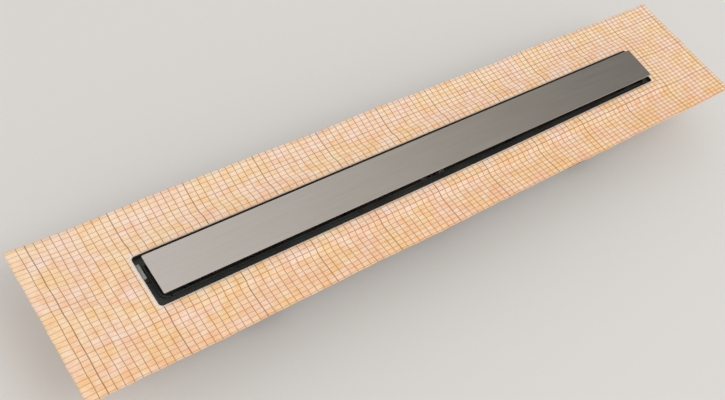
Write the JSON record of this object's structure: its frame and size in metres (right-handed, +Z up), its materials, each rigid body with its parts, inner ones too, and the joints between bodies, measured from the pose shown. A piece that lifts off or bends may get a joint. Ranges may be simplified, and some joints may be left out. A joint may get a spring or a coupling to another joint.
{
  "type": "linear shower drain",
  "caption": "Long narrow floor drain with a solid metal cover, inlet slots all round it, a bonded sealing collar, a lift-out odour trap, a side outlet and adjustable legs.",
  "frame": {"origin": "on the floor, under the middle of the drain", "axes": "+X along the channel, +Y towards the outlet spigot, +Z up"},
  "size_m": [1.135, 0.206, 0.1173],
  "materials": {
    "stainless_satin": "satin brushed along the length",
    "stainless_plain": "plain drawn",
    "abs_black": "moulded, semi-matt",
    "polypropylene_black": "moulded",
    "polypropylene_grey": "moulded",
    "membrane_fleece": "fleece with a printed grid",
    "buffer_grey": "cut foam rubber",
    "seal_rubber": "moulded",
    "zinc_steel": "zinc plated"
  },
  "bodies": {
    "root": {"cover_plate": "stainless_satin", "hair_strainer": "stainless_satin", "cover_weld_studs": "stainless_plain", "cover_lock_nuts": "stainless_plain", "channel_body": "abs_black", "trap_housing": "polypropylene_black", "cover_foot_1": "polypropylene_black", "cover_foot_2": "polypropylene_black", "cover_foot_3": "polypropylene_black", "cover_foot_4": "polypropylene_black", "cover_foot_5": "polypropylene_black", "cover_foot_6": "polypropylene_black", "cover_foot_7": "polypropylene_black", "cover_foot_8": "polypropylene_black", "leg_base_1": "polypropylene_black", "leg_base_2": "polypropylene_black", "leg_base_3": "polypropylene_black", "leg_base_4": "polypropylene_black", "dip_tube": "polypropylene_grey", "trap_cup": "polypropylene_grey", "sealing_collar": "membrane_fleece", "end_buffer_left": "buffer_grey", "end_buffer_right": "buffer_grey", "dip_tube_seal": "seal_rubber", "trap_gasket": "seal_rubber", "leg_sole_1": "seal_rubber", "leg_sole_2": "seal_rubber", "leg_sole_3": "seal_rubber", "leg_sole_4": "seal_rubber", "trap_screws": "zinc_steel", "leg_nuts": "zinc_steel", "leg_washers": "zinc_steel", "leg_stud_1": "zinc_steel", "leg_stud_2": "zinc_steel", "leg_stud_3": "zinc_steel", "leg_stud_4": "zinc_steel"}
  },
  "joints": []
}
